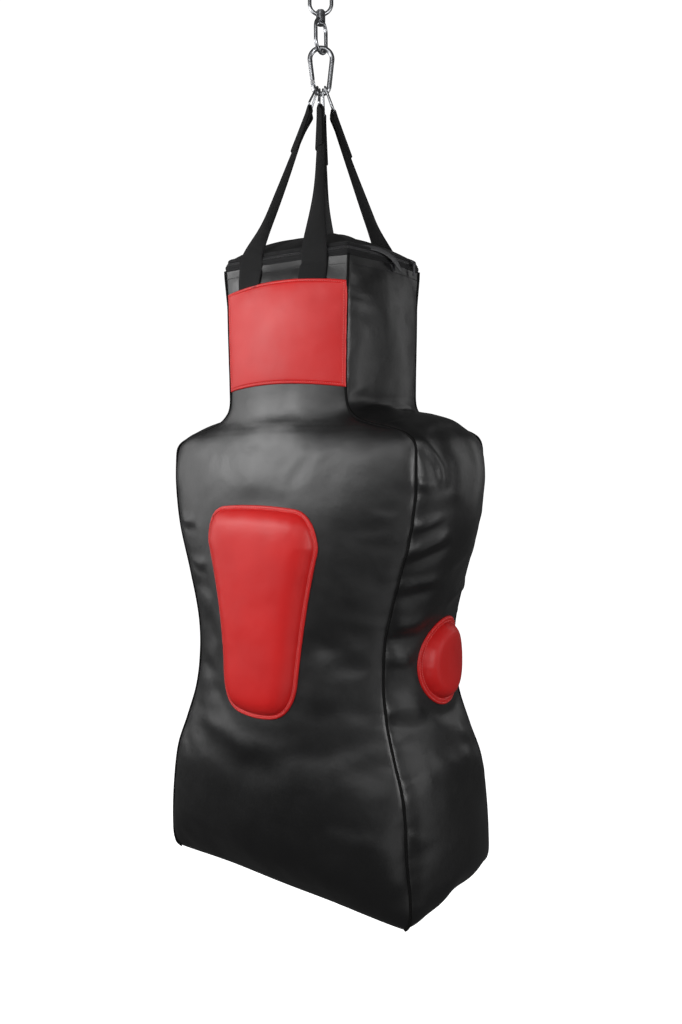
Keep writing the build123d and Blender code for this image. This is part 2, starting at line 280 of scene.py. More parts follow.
def leather(name, dark, light, rough, spec=0.5, coat=0.04):
    mat, tree, shader = material(name, dark, rough)
    where = coords(tree)
    tone = ramp(tree, noise(tree, where, 9.0, 2.0, 0.55), (0.3, dark), (0.75, light))
    tree.links.new(tone, shader.inputs["Base Color"])
    worn = noise(tree, where, 26.0, 2.0, 0.6)
    vary_roughness(tree, shader, worn, rough - 0.05, rough + 0.07)
    grain = texture(
        tree, where, "ShaderNodeTexVoronoi", {"Scale": 850.0}, feature="DISTANCE_TO_EDGE")
    cells = ramp(tree, grain.outputs["Distance"], (0.0, (0, 0, 0)), (0.22, (1, 1, 1)))
    creases = noise(tree, where, 120.0, 2.0, 0.6)
    soft = noise(tree, where, 17.0, 1.0)
    bump(tree, shader, (soft, 0.5, 0.004), (worn, 0.30, 0.0016), (creases, 0.16, 0.0008),
         (cells, 0.12, 0.00018))
    set_inputs(shader, {
        "Specular IOR Level": spec, "Coat Weight": coat, "Coat Roughness": 0.36})
    return mat


def woven(name, dark, light, scale, sheen):
    mat, tree, shader = material(name, dark, 0.8)
    where = coords(tree)
    both = tree.nodes.new("ShaderNodeMath")
    both.operation = "MULTIPLY"
    for i, (fine, bend, way) in enumerate(((scale, 0.6, "DIAGONAL"), (scale * 0.6, 0.4, "Z"))):
        wave = texture(tree, where, "ShaderNodeTexWave", {"Scale": fine, "Distortion": bend},
                       wave_type="BANDS", bands_direction=way)
        tree.links.new(wave.outputs["Fac"], both.inputs[i])
    weave = both.outputs["Value"]
    tone = ramp(tree, weave, (0.0, dark), (0.8, light))
    tree.links.new(tone, shader.inputs["Base Color"])
    bump(tree, shader, (weave, 0.5, 0.0005), (noise(tree, where, 700.0, 3.0), 0.2, 0.0002))
    set_inputs(shader, {
        "Specular IOR Level": 0.22, "Sheen Weight": sheen, "Sheen Roughness": 0.5})
    return mat


def steel(name, color, rough, scratch=0.1):
    mat, tree, shader = material(name, color, rough, 1.0)
    where = coords(tree)
    cloud = noise(tree, where, 70.0, 3.0)
    tone = ramp(tree, cloud, (0.3, tuple(c * 0.72 for c in color)), (0.7, color))
    tree.links.new(tone, shader.inputs["Base Color"])
    vary_roughness(tree, shader, cloud, rough - 0.05, rough + 0.12)
    bump(tree, shader, (cloud, scratch, 0.0003))
    return mat


def speckled(name, dark, light, scale, rough, spec=0.5):
    mat, tree, shader = material(name, dark, rough)
    where = coords(tree)
    grain = noise(tree, where, scale, 6.0, 0.7)
    tone = ramp(tree, grain, (0.35, dark), (0.65, light))
    tree.links.new(tone, shader.inputs["Base Color"])
    bump(tree, shader, (grain, 0.4, 0.0006))
    set_inputs(shader, {"Specular IOR Level": spec})
    return mat


BLACK = leather("black_leather", (0.0042, 0.0042, 0.0044), (0.0072, 0.0072, 0.0074), 0.36)
RED = leather("red_leather", (0.48, 0.0095, 0.0095), (0.57, 0.015, 0.014), 0.42, 0.32, 0.0)
# the seam cord is coloured darker than the black leather: painted shade of the seam grooves
SEAM_SHADE_CORD = speckled("seam_cord_painted_shade", (0.002, 0.002, 0.002), (0.004, 0.004, 0.004), 500.0, 0.75, spec=0.12)
WEBBING = woven("webbing", (0.0022, 0.0022, 0.0024), (0.0105, 0.0105, 0.011), 330.0, 0.03)
TAPE = woven("zip_tape", (0.004, 0.004, 0.0045), (0.016, 0.016, 0.017), 520.0, 0.04)
COIL = speckled("zip_coil", (0.012, 0.012, 0.013), (0.035, 0.035, 0.037), 900.0, 0.42)
STRIP = speckled("zip_end", (0.04, 0.04, 0.042), (0.10, 0.10, 0.104), 900.0, 0.40)
FOAM = speckled("foam", (0.08, 0.08, 0.085), (0.16, 0.16, 0.17), 600.0, 0.9)
FILL = speckled("textile_fill", (0.25, 0.24, 0.23), (0.5, 0.48, 0.46), 60.0, 0.95)
THREAD = speckled("black_thread", (0.012, 0.012, 0.013), (0.04, 0.04, 0.042), 1500.0, 0.6)
RED_THREAD = speckled("red_thread", (0.62, 0.07, 0.07), (0.80, 0.16, 0.15), 1500.0, 0.6)
ZINC = steel("ring_steel", (0.50, 0.51, 0.53), 0.26, 0.02)
SWIVEL = steel("swivel_steel", (0.44, 0.45, 0.47), 0.26, 0.02)
HOOK = steel("hook_steel", (0.46, 0.47, 0.49), 0.24, 0.02)
DULL = steel("rivet_steel", (0.45, 0.45, 0.46), 0.35)
SLIDER = steel("zip_metal", (0.10, 0.10, 0.11), 0.32)

# ---- torso cover ----------------------------------------------------------

NX = 72
NS = 40
RING = 2 * (NX + NS)
ROW_STEP = 6.4
# columns of each panel in a level of the cover, and the axis that runs across it
PANELS = {"front": (0, NX), "right": (NX, NX + NS),
          "back": (NX + NS, 2 * NX + NS), "left": (2 * NX + NS, RING)}
ACROSS = {"front": 0, "right": 1, "back": 0, "left": 1}
SEAMS = [first for first, _ in PANELS.values()]


def smooth_rows():
    """Seam frame at even steps along the seam, as a smooth curve through the sections."""
    count = len(SECTIONS)
    fine = []
    for i in range(count - 1):
        p1, p2 = SECTIONS[i], SECTIONS[i + 1]
        p0 = SECTIONS[i - 1] if i else 2 * p1 - p2
        p3 = SECTIONS[i + 2] if i + 2 < count else 2 * p2 - p1
        for t in np.linspace(0, 1, 24, endpoint=False):
            fine.append(0.5 * (
                2 * p1 + (p2 - p0) * t + (2 * p0 - 5 * p1 + 4 * p2 - p3) * t * t
                + (3 * p1 - p0 - 3 * p2 + p3) * t ** 3
            ))
    fine = np.array(fine + [SECTIONS[-1]])
    dist = run_length(fine[:, :2])
    return sampled(fine, dist, np.linspace(0, dist[-1], int(round(dist[-1] / ROW_STEP)) + 1))


ROWS = smooth_rows()
NR = len(ROWS)
height = ROWS[:, 0:1]


def spaced(count):
    """Even steps from -1 to 1, closed up towards the seams at both ends."""
    t = np.linspace(-1, 1, count, endpoint=False)
    return t * (1.35 - 0.35 * t * t)


def swell(t):
    return 1 - np.abs(t) ** 2.3


def level(row):
    """Closed loop of points at one height of the stuffed cover."""
    h, a, b, front, side = row
    tx, ts = spaced(NX), spaced(NS)
    deep, wide = b + front * swell(tx), a + side * swell(ts)
    x = np.concatenate([a * tx, wide, -a * tx, -wide])
    y = np.concatenate([-deep, b * ts, deep, -b * ts])
    return np.stack([x, y, np.full(RING, BASE + h)], axis=1)


cover = np.array([level(row) for row in ROWS])
# the filled base hangs 12 mm low at its front right corner and 6 mm high at the left
low_part = np.clip(1 - (cover[..., 2] - BASE) / 170, 0, 1) ** 2
cover[..., 2] += low_part * (
    6 * np.exp(-((cover[..., 0] + 120) / 110) ** 2 - ((cover[..., 1] + 160) / 120) ** 2)
    - 12 * np.exp(-((cover[..., 0] - 262) / 120) ** 2 - ((cover[..., 1] + 131) / 90) ** 2))
# one shoulder hangs a little higher than the other
cover[..., 2] += 5.0 * (cover[..., 0] / 260) * np.exp(-((height - SHOULDER_EDGE) / 34) ** 2)


def normals_of(grid):
    across = np.roll(grid, -1, 1) - np.roll(grid, 1, 1)
    up = np.gradient(grid, axis=0)
    n = np.cross(across, up)
    n /= np.linalg.norm(n, axis=2)[..., None] + 1e-12
    return n


def bottom_grid(edge):
    """Bottom panel that fills the lowest level of the cover."""
    front = edge[:NX + 1]
    right = edge[NX:NX + NS + 1, None]
    back = edge[NX + NS:2 * NX + NS + 1][::-1]
    left = np.vstack([edge[2 * NX + NS:], edge[:1]])[::-1, None]
    u = (np.append(spaced(NX), 1)[:, None] + 1) / 2
    v = (np.append(spaced(NS), 1)[:, None, None] + 1) / 2
    return (
        (1 - v) * front + v * back + (1 - u) * left + u * right
        - ((1 - u) * (1 - v) * front[0] + u * (1 - v) * front[-1]
           + (1 - u) * v * back[0] + u * v * back[-1])
    )


SETTLE_FRAMES = 20
SETTLE_LIMIT = 10.0


def settle(points, faces, pins):
    """Blows the sewn cover up a little so that it pulls tight between its seams."""
    obj = bare_mesh("settling", points, faces)
    group = obj.vertex_groups.new(name="seams")
    group.add([int(i) for i in np.nonzero(pins)[0]], 1.0, "REPLACE")
    cloth = obj.modifiers.new("cloth", "CLOTH")
    for key, value in {
        "quality": 6, "mass": 0.4, "tension_stiffness": 30, "compression_stiffness": 30,
        "shear_stiffness": 12, "bending_stiffness": 1.5, "air_damping": 4,
        "use_pressure": True, "uniform_pressure_force": 4.0, "vertex_group_mass": "seams",
        "pin_stiffness": 1.0, "shrink_min": -0.012,
    }.items():
        setattr(cloth.settings, key, value)
    cloth.settings.effector_weights.gravity = 0
    cloth.collision_settings.use_collision = False
    cloth.point_cache.frame_start = 1
    cloth.point_cache.frame_end = SETTLE_FRAMES
    scene = bpy.context.scene
    for f in range(1, SETTLE_FRAMES + 1):
        scene.frame_set(f)
    done = obj.evaluated_get(bpy.context.evaluated_depsgraph_get())
    co = np.zeros(len(done.data.vertices) * 3)
    done.data.vertices.foreach_get("co", co)
    moved = co.reshape(-1, 3) * 1000 - points
    far = np.linalg.norm(moved, axis=1)
    keep = np.minimum(1.0, SETTLE_LIMIT / np.maximum(far, 1e-6))
    scene.frame_set(1)
    bpy.data.objects.remove(obj)
    return points + moved * keep[:, None]


def bottom_index(i, j):
    """Vertex of the bottom panel, shared with the cover at the edge."""
    if i == 0:
        return j
    if i == NS:
        return (2 * NX + NS - j) % RING
    if j == 0:
        return (RING - i) % RING
    if j == NX:
        return NX + i
    return NR * RING + (i - 1) * (NX - 1) + (j - 1)


def lumps(points, seed, scale, deep):
    """Small unevenness in the stuffing, so that no two sides match."""
    r = np.random.default_rng(seed)
    total = np.zeros(len(points))
    for _ in range(9):
        k = r.normal(size=3)
        k /= np.linalg.norm(k)
        waves = points @ k * (TAU / (scale * r.uniform(0.7, 1.4)))
        total += np.sin(waves + r.uniform(0, 6.28))
    return total * deep / 3


sewn = NR * RING
inner = bottom_grid(cover[0])[1:-1, 1:-1].reshape(-1, 3)
faces = grid_faces(NR, RING, wrap=True) + [
    (bottom_index(i, j), bottom_index(i + 1, j),
     bottom_index(i + 1, j + 1), bottom_index(i, j + 1))
    for i in range(NS) for j in range(NX)]
pins = np.zeros(sewn + len(inner))
pins[:RING] = 1.0
pins[sewn - RING:sewn] = 1.0
for c in SEAMS:
    pins[c:sewn:RING] = 1.0
held = pins[:sewn] > 0.5
uneven = lumps(cover.reshape(-1, 3), 3, 90, 0.8) * ~held
start = np.vstack([cover.reshape(-1, 3), inner])
start[:sewn] += normals_of(cover).reshape(-1, 3) * uneven[:, None]
settled = settle(start, faces, pins)
# the sheet is thick, so its finest creases are eased out
moved = (settled - start)[:sewn].reshape(NR, RING, 3)
held = held.reshape(NR, RING, 1)
for _ in range(4):
    soft = (np.roll(moved, 1, 1) + np.roll(moved, -1, 1) + 2 * moved) / 4
    soft[1:-1] = (soft[:-2] + soft[2:] + 2 * soft[1:-1]) / 4
    moved = np.where(held, moved, soft)
cover = start[:sewn].reshape(NR, RING, 3) + moved
sag = settled[sewn:].reshape(NS - 1, NX - 1, 3)[..., 2] - BASE

# ---- folds, creases and seam pull, laid over the settled cover ------------

nrm = normals_of(cover)
seam_gap = np.full((NR, RING), 1e9)
for c in SEAMS:
    seam_gap = np.minimum(seam_gap, np.linalg.norm(cover - cover[:, c:c + 1], axis=2))
# the panels dip into their sewn corners
push = -(2.2 * np.exp(-(seam_gap / 4.0) ** 2) + 2.6 * np.exp(-(seam_gap / 17.0) ** 2))
# fine puckers run out of the seams
arc = run_length(ROWS[:, :2])
for seed, (c0, c1) in enumerate(PANELS.values(), 1):
    r = np.random.default_rng(seed)
    for edge in (c0, c1 % RING):
        gap = np.linalg.norm(cover[:, c0:c1] - cover[:, edge:edge + 1], axis=2)
        s = 12.0
        while s < arc[-1] - 15:
            deep = r.uniform(0.15, 1.0) ** 1.6 * (0.8 if seed == 1 else 1.4)
            wide = r.uniform(4.5, 10.0)
            reach = r.uniform(16, 52)
            d = arc[:, None] - s - r.uniform(-0.35, 0.35) * gap
            push[:, c0:c1] += deep * (
                np.exp(-(d / wide) ** 2) - 0.55 * np.exp(-((d - 1.7 * wide) / wide) ** 2)
            ) * np.exp(-(gap / reach) ** 1.5) * (1 - np.exp(-(gap / 4.0) ** 2))
            s += r.uniform(14, 44)


def fold(side, points, width, deep, fade=0.3):
    """A soft ridge with a hollow under it, along a line on one side of the bag."""
    c0, c1 = PANELS[side]
    across, up = cover[:, c0:c1, ACROSS[side]], cover[:, c0:c1, 2] - BASE
    points = np.array(points, float)
    lengths = np.linalg.norm(np.diff(points, axis=0), axis=1)
    best = np.full(up.shape, 1e9)
    signed, along = np.zeros(up.shape), np.zeros(up.shape)
    total = 0.0
    for a, b, long in zip(points, points[1:], lengths):
        d = (b - a) / long
        pu, ph = across - a[0], up - a[1]
        t = np.clip(pu * d[0] + ph * d[1], 0, long)
        dist = np.hypot(pu - t * d[0], ph - t * d[1])
        near = dist < best
        best = np.where(near, dist, best)
        signed = np.where(near, np.sign(ph * d[0] - pu * d[1]) * dist, signed)
        along = np.where(near, (total + t) / lengths.sum(), along)
        total += long
    ridge = np.exp(-(signed / width) ** 2) - 0.6 * np.exp(-((signed + 1.75 * width) / width) ** 2)
    ends = np.clip(along / fade, 0, 1) * np.clip((1 - along) / fade, 0, 1)
    open_end = np.exp(-np.maximum(best - 3.2 * width, 0) ** 2 / width ** 2)
    push[:, c0:c1] += deep * ridge * (ends ** 0.6) * open_end


# the waist pulls the side panels into level folds that start at the front seam
for pts, wide, deep in (
    ([(-128, 618), (-95, 624), (-60, 634)], 7, 4.2),
    ([(-128, 572), (-80, 590), (-35, 606)], 9, 6.5),
    ([(-128, 521), (-80, 526), (-20, 530)], 8, 4.0),
    ([(-128, 452), (-86, 456), (-40, 460)], 9, 3.2),
    ([(-128, 405), (-90, 402), (-50, 398)], 8, 2.6),
    ([(20, 484), (70, 496), (122, 503)], 9, 5.5),
    ([(-20, 548), (40, 566), (110, 560)], 12, 3.0),
    ([(60, 440), (100, 447), (124, 452)], 8, 4.5),
    ([(-128, 330), (-80, 320), (-20, 316)], 12, 2.4),
    ([(-60, 236), (10, 214), (90, 222)], 14, 4.0),
    ([(40, 262), (80, 242), (126, 236)], 10, 3.4),
    ([(-128, 690), (-100, 688), (-60, 694)], 8, 2.4),
    ([(-100, 655), (-60, 668), (-20, 672)], 10, 2.0),
):
    fold("right", pts, wide * 1.2, deep * 0.78)
    fold("left", pts, wide * 1.2, deep * 0.4)
# creases where the head bends out onto the shoulders
for pts, wide, deep in (
    ([(-100, 800), (-20, 812), (60, 818), (112, 806)], 7, 5.0),
    ([(-80, 776), (0, 786), (90, 782)], 6, 3.0),
    ([(-112, 766), (-90, 752), (-72, 716), (-66, 676)], 9, 3.4),
):
    fold("right", pts, wide, deep, fade=0.25)
    fold("left", pts, wide, deep, fade=0.25)
# soft slack across the upper chest and beside the seams
for pts, wide, deep in (
    ([(30, 690), (70, 738), (126, 762)], 10, 0.9),
    ([(-10, 752), (34, 800), (76, 826)], 10, 1.1),
    ([(92, 722), (120, 742), (150, 748)], 6, 1.4),
    ([(236, 606), (206, 600), (170, 604)], 9, 1.1),
    ([(250, 640), (226, 634), (196, 640)], 8, 0.9),
    ([(-246, 620), (-214, 612), (-180, 616)], 9, 2.0),
    ([(-210, 540), (-178, 536), (-150, 542)], 8, 1.6),
    ([(-118, 812), (-96, 782), (-88, 742)], 12, 1.2),
    ([(190, 372), (160, 366), (120, 370)], 12, 0.8),
    ([(-190, 300), (-120, 262), (-40, 246), (60, 250)], 22, 3.2),
    ([(236, 130), (180, 120), (120, 126)], 14, 1.6),
    ([(-236, 92), (-170, 78), (-100, 80)], 14, 1.6),
):
    fold("front", pts, wide, deep)
# creases down the back
for pts, wide, deep in (
    ([(-240, 600), (-190, 612), (-130, 606)], 9, 3.0),
    ([(236, 560), (190, 552), (120, 560)], 9, 3.2),
    ([(-204, 420), (-150, 412), (-90, 420)], 10, 3.0),
    ([(200, 400), (150, 392), (80, 398)], 10, 2.8),
    ([(-60, 790), (0, 770), (70, 786)], 9, 2.4),
    ([(-150, 240), (-40, 226), (80, 236)], 16, 3.0),
    ([(-110, 700), (-40, 724), (20, 716)], 10, 1.8),
):
    fold("back", pts, wide, deep)

quiet = np.clip((RIM - height) / 60, 0, 1) * np.clip(height / 12, 0, 1)
uneven = lumps(cover.reshape(-1, 3), 11, 150, 1.0).reshape(NR, RING)
push = push * quiet + uneven * quiet * (1 - np.exp(-(seam_gap / 30) ** 2))
FOLD_LOWEST, FOLD_HIGHEST = -7.5, 9.0
push = np.clip(push, FOLD_LOWEST, FOLD_HIGHEST)
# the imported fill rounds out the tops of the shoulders
for side in ("right", "left"):
    c0, c1 = PANELS[side]
    round_off = 1 - np.abs(spaced(NS)[None, :]) ** 2.4
    push[:, c0:c1] += 10.0 * round_off * np.exp(-((height - SHOULDER_TOP) / 20) ** 2)
cover = cover + nrm * push[..., None]
# the top edge covers the foot of the rim tape
cover[-1, :, 2] += 6.5
# the front stays taut where it runs up from the chest to the head
neck = cover[:, 0:NX, 1]
slack = np.exp(-((height - NECK) / 46) ** 2) * np.clip(seam_gap[:, 0:NX] / 34, 0, 1)
for _ in range(44):
    even = neck.copy()
    even[1:-1, 1:-1] = (neck[:-2, 1:-1] + neck[2:, 1:-1] + neck[1:-1, :-2] + neck[1:-1, 2:]) / 4
    neck += (even - neck) * slack


def lie_flat(side, inside, order):
    """Evens out the cover where a stiff pad is sewn on, fading out round the pad's edge."""
    c0, c1 = PANELS[side]
    axis = ACROSS[side]
    part = cover[:, c0:c1]
    deep = part[..., 1 - axis]
    u = (part[..., axis] - inside.mid[0]) / 150
    v = (part[..., 2] - BASE - inside.mid[1]) / 200
    weight = inside(part[..., axis], part[..., 2] - BASE)
    use = weight > 0.02
    terms = [(i, j) for i in range(order + 1) for j in range(order + 1 - i)]
    basis = np.stack([u ** i * v ** j for i, j in terms], axis=-1)
    fit = np.linalg.lstsq(basis[use], deep[use], rcond=None)[0]
    deep += weight * (basis @ fit - deep)


class Area:
    """Soft mask, 1 inside an outline and fading to 0 over a margin outside it."""

    def __init__(self, outline, margin):
        self.outline = np.asarray(outline, float)
        self.margin = margin
        self.mid = self.outline.mean(axis=0)

    def __call__(self, u, h):
        spots = np.stack([u, h], axis=-1)
        gap = np.linalg.norm(spots[..., None, :] - self.outline, axis=-1).min(axis=-1)
        turn = np.zeros(u.shape)
        for a, b in zip(self.outline, np.roll(self.outline, -1, 0)):
            va, vb = a - spots, b - spots
            turn += np.arctan2(va[..., 0] * vb[..., 1] - va[..., 1] * vb[..., 0],
                               (va * vb).sum(axis=-1))
        gap = np.where(np.abs(turn) > math.pi, 0.0, gap)
        x = np.clip(1 - (gap - 4) / self.margin, 0, 1)
        return x * x * (3 - 2 * x)


def shield(count=168):
    """Outline of the chest pad, from curves with two ends and a point each leans to."""
    curves = np.array([
        ((-80, 645), (80, 645), (0, 653)), ((80, 645), (125, 581), (119, 640)),
        ((125, 581), (85, 352), (94, 466)), ((85, 352), (38, 295), (77, 301)),
        ((38, 295), (-38, 295), (0, 289)), ((-38, 295), (-85, 352), (-77, 301)),
        ((-85, 352), (-125, 581), (-94, 466)), ((-125, 581), (-80, 645), (-119, 640)),
    ], float)
    curves[..., 0] += CHEST_U
    path = [
        (1 - t) ** 2 * p + 2 * t * (1 - t) * m + t * t * q
        for p, q, m in curves for t in np.linspace(0, 1, 18, endpoint=False)]
    return resample(path, 1262 / count, closed=True)


def disc(count=120):
    """Outline of the round side pads, a touch wider than high."""
    turn = np.linspace(0, TAU, count, endpoint=False)
    return np.stack([PAD_U + PAD_WIDE * np.cos(turn), PAD_H + PAD_TALL * np.sin(turn)], axis=1)


lie_flat("front", Area(shield(84), 34), 4)
lie_flat("right", Area(disc(60), 30), 3)
lie_flat("left", Area(disc(60), 30), 3)


def panel_grid(side):
    """Points of one panel, with the column of the next seam."""
    c0, c1 = PANELS[side]
    return cover[:, [c % RING for c in range(c0, c1 + 1)]]


for side in PANELS:
    grid = panel_grid(side)
    obj = new_mesh(
        side + "_cover", grid.reshape(-1, 3), grid_faces(*grid.shape[:2]), "bag", BLACK)
    subdivide(obj)
    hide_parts({"right": "right_side", "left": "left_side"}.get(side, side) + "_panel")

base_grid = bottom_grid(cover[0])
base_grid[1:-1, 1:-1, 2] += np.clip(sag, -4, 1) * 0.6
obj = new_mesh(
    "bottom_cover", base_grid.reshape(-1, 3), flipped(grid_faces(NS + 1, NX + 1)), "bag", BLACK)
subdivide(obj)
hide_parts("bottom_panel")

# ---- cords sewn into the seams, coloured darker than the leather as painted shade of the seam grooves ---
for name, c in zip(("front_left", "front_right", "back_right", "back_left"), SEAMS):
    line = cover[:, c]
    out = np.sign(line[0] * [1, 1, 0])
    obj = tube("welt_" + name, resample(line + out * 0.7, 4.0), 2.3, SEAM_SHADE_CORD, sides=10)
line = resample(cover[0] * np.array([0.994, 0.99, 1]) + np.array([0, 0, 1.6]), 4.0, closed=True)
obj = tube("welt_bottom", line, 1.3, SEAM_SHADE_CORD, closed=True)

# ---- pieces sewn on the outside -------------------------------------------

TREES = {}
for side in PANELS:
    grid = panel_grid(side)
    TREES[side] = BVHTree.FromPolygons(
        [Vector(p) for p in grid.reshape(-1, 3)], grid_faces(*grid.shape[:2]))
OUTWARD = {"front": np.array([0, -1.0, 0]), "right": np.array([1.0, 0, 0]),
           "back": np.array([0, 1.0, 0]), "left": np.array([-1.0, 0, 0])}


def skin(side, u, h):
    """Where a straight line from outside meets the cover, averaged over a few points."""
    place = np.array([0.0, 0.0, BASE + h])
    place[ACROSS[side]] = u
    total, count = np.zeros(3), 0
    for du, dh in ((0, 0), (5, 0), (-5, 0), (0, 5), (0, -5)):
        shift = np.array([0.0, 0.0, dh])
        shift[ACROSS[side]] = du
        start = Vector(OUTWARD[side] * 900 + place + shift)
        hit = TREES[side].ray_cast(start, Vector(-OUTWARD[side]))[0]
        if hit is not None:
            total += np.array(hit) - shift
            count += 1
    return total / max(count, 1)


def sewn_pad(name, outline, centre, side, rise, hem, shoulder=24.0, dents=()):
    """Raised red pad with a flat stitched hem, laid on the cover inside an outline."""
    centre = np.asarray(centre, float)
    count = len(outline)
    out = OUTWARD[side]
    r = np.random.default_rng(len(name) * 7)
    waves = np.zeros(count)
    turn = np.linspace(0, TAU, count, endpoint=False)
    for k in (9, 14, 23, 31, 47):
        waves += r.uniform(-1, 1) * np.cos(k * turn + r.uniform(0, 6.28)) / 2.2
    inset = [0.0, 0.35, 1.4, 3.0, 5.0] + [
        hem + d for d in (-1.6, -0.6, 0, 0.9, 2.0, 3.6, 6, 9, 13, 18, 24)]
    way = np.roll(outline, -1, 0) - np.roll(outline, 1, 0)
    way /= np.linalg.norm(way, axis=1)[:, None]
    inward = np.stack([-way[:, 1], way[:, 0]], axis=1)
    if np.mean(np.sum(inward * (centre - outline), axis=1)) < 0:
        inward = -inward
    loops = [outline + inward * d for d in inset]
    for step in range(1, 11):
        loops.append(loops[len(inset) - 1] * (1 - step / 11) + centre * (step / 11))
    # each point with its distance from the pad's edge
    points = []
    for loop in loops:
        far = np.linalg.norm(loop[:, None] - outline[None], axis=2).min(axis=1)
        points += zip(loop, far)
    points.append((centre, np.linalg.norm(outline - centre, axis=1).min()))
    made = []
    for i, ((u, h), d) in enumerate(points):
        past = d - hem
        edge = 1.0 + 1.9 * math.sqrt(min(1.0, d / 1.4)) if d > 0 else 0.2
        groove = 1.3 * math.exp(-(past / 1.1) ** 2)
        x = np.clip(past / shoulder, 0, 1)
        lift = rise * (1 - (1 - x) ** 2.4) ** 0.8
        pucker = 0.75 * waves[i % count] * math.exp(-((past - 3) / 7.0) ** 2) if past > -4 else 0
        crown = 3.0 * (1 - math.exp(-max(0.0, past) / 34))
        proud = edge + lift + crown - groove + pucker
        for cu, ch, wide, deep in dents:
            proud += deep * math.exp(-((u - cu) ** 2 + (h - ch) ** 2) / wide ** 2)
        made.append(skin(side, u, h) + out * proud)
    made = np.array(made)
    faces = grid_faces(len(loops), count, wrap=True)
    faces += fan((len(loops) - 1) * count, count, len(loops) * count)
    obj = new_mesh(name, made, flipped(faces) if side == "left" else faces, "bag", RED)
    subdivide(obj)
    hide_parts(name + "_cover", name + "_foam")
    for kind, row in (("_stitching", 5), ("_edge_stitching", 3)):
        line = made[row * count:(row + 1) * count] + out * 0.2
        obj = stitches(name + kind, line, np.tile(out, (count, 1)), RED_THREAD, pitch=4.4)


sewn_pad("chest_pad", shield()[::-1], (CHEST_U, 472), "front", 15.0, 7.0, 36.0,
         ((92, 592, 7, -0.8), (-64, 610, 40, 1.2)))
for side in ("right", "left"):
    sewn_pad(side + "_pad", disc()[::-1], (PAD_U, PAD_H), side, 18.0, 10.5)


def head_width(h):
    """Left and right edge of the head patch at a height."""
    a = np.interp(h, ROWS[:, 0], ROWS[:, 1])
    return -a + 6.5, a - 1.6


def head_patch(h_low, h_high):
    """Points of the flat sewn-on patch with a rolled edge, fitted to the cover."""
    near_edge = np.array([0.0, 0.4, 1.4, 2.8, 3.9, 4.6, 5.3, 6.4, 9.0])

    def marks(size, count):
        return np.concatenate(
            [near_edge, np.linspace(13, size - 13, count), size - near_edge[::-1]])

    left, right = head_width((h_low + h_high) / 2)
    wide = right - left
    us = marks(wide, 30) / wide * 2 - 1
    hs = marks(h_high - h_low, 22) / (h_high - h_low)
    points = np.zeros((len(hs), len(us), 3))
    r = np.random.default_rng(5)
    pulls = [(r.uniform(-1, 1), r.uniform(4, 9), r.uniform(-1, 1)) for _ in range(16)]
    for i, v in enumerate(hs):
        for j, t in enumerate(us):
            low = h_low + 9.0 * (1 - t * t)
            tall = h_high + 11.0 * (1 - t * t) - low
            h = low + tall * v
            left, right = head_width(h)
            edge = min((1 - abs(t)) * (right - left) / 2, v * tall, (1 - v) * tall)
            top = 2.9 * min(1.0, math.sqrt(max(edge, 0) / 1.8) + 0.08)
            groove = 1.1 * math.exp(-((edge - 4.6) / 0.9) ** 2)
            puff = 1.4 * (1 - math.exp(-edge / 14))
            tug = sum(k * math.exp(-((t - c) * wide / 2 / w) ** 2) for c, w, k in pulls)
            puff += 0.55 * tug * math.exp(-((1 - v) * tall / 26))
            place = skin("front", left + (right - left) * (t + 1) / 2, h)
            points[i, j] = place + OUTWARD["front"] * (top - groove + puff)
    return points


patch = head_patch(846, 1023)
obj = new_mesh(
    "head_patch_cover", patch.reshape(-1, 3), grid_faces(*patch.shape[:2]), "bag", RED)
subdivide(obj)
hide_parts("head_patch")
edge = np.vstack([patch[5, 5:-5], patch[5:-5, -6], patch[-6, 5:-5][::-1], patch[5:-5, 5][::-1]])
edge = resample(edge, 3.0, closed=True)
obj = stitches("head_patch_stitching", edge - np.array([0, 0.5, 0]),
               np.tile(OUTWARD["front"], (len(edge), 1)), RED_THREAD, pitch=4.2, length=2.8)

# ---- rim, zip and lid -----------------------------------------------------


def rim_loop(grow, h, wave, n):
    """Closed outline that follows the head's rim."""
    a, b, front, side = RIM_WIDE + grow, RIM_DEEP + grow, 6.0, 5.0
    tx, ts = (np.linspace(-1, 1, count, endpoint=False) for count in (64, 46))
    deep, wide = b + front * (1 - tx * tx), a + side * (1 - ts * ts)
    x = np.concatenate([a * tx, wide, -a * tx, -wide])
    y = np.concatenate([-deep, b * ts, deep, -b * ts])
    pts = resample(np.stack([x, y, 0 * x], axis=1), 1.0, closed=True)
    # round the corners a little
    for _ in range(2):
        pts = (np.roll(pts, 2, 0) + np.roll(pts, -2, 0) + 2 * pts) / 4
    pts = pts[np.linspace(0, len(pts), n, endpoint=False).astype(int)]
    s = np.linspace(0, TAU, n, endpoint=False)
    pts[:, 2] = BASE + h + wave * (np.sin(5 * s + 1) + 0.6 * np.sin(11 * s))
    return pts


def band(name, body, wave, profile, n=300):
    """Tape around the rim, swept from a list of growth and height over the rim."""
    rows = np.array([rim_loop(g, RIM + h, wave, n) for g, h in profile])
    obj = new_mesh(name, rows.reshape(-1, 3), grid_faces(len(rows), n, wrap=True), body, TAPE)
    subdivide(obj)
    return obj


tape = band("rim_tape_cover", "bag", 0.3, [
    (-6, 3), (-1, 4.5), (0.4, 4.2), (1.1, 4.8), (1.4, 6), (1.4, 7.4), (0.8, 8.4), (1.4, 9.4),
    (1.6, 12), (1.3, 14.4), (0.5, 15.8), (-0.9, 15.6), (-4.0, 14.3),
])
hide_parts("rim_zip_tape")


